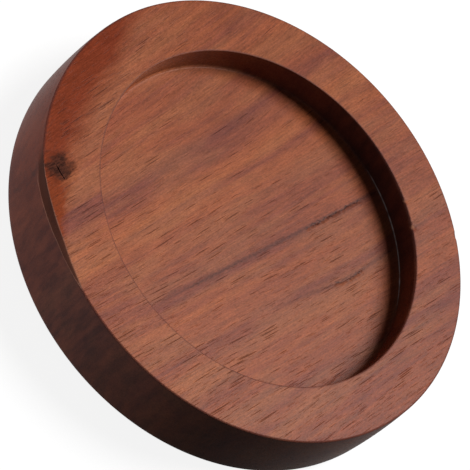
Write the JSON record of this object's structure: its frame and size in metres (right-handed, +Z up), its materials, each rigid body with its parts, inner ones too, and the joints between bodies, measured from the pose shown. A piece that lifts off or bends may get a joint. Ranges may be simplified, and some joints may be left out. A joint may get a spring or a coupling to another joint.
{
  "type": "pepper mill tray",
  "caption": "Round turned hardwood tray with a flat rim and a flat-bottomed well that holds the foot of a pepper mill and catches ground pepper.",
  "frame": {"origin": "on the table under the tray's turning axis", "axes": "+Z up along the turning axis; the wood's grain runs close to Y; the picture is seen from -Y and above"},
  "size_m": [0.091, 0.091, 0.016],
  "materials": {
    "wood": "oiled reddish-brown hardwood, satin, open pores along a straight grain",
    "rubber": "matte dark rubber"
  },
  "bodies": {
    "root": {"tray_body": "wood", "rubber_foot_1": "rubber", "rubber_foot_2": "rubber", "rubber_foot_3": "rubber", "rubber_foot_4": "rubber"}
  },
  "joints": []
}
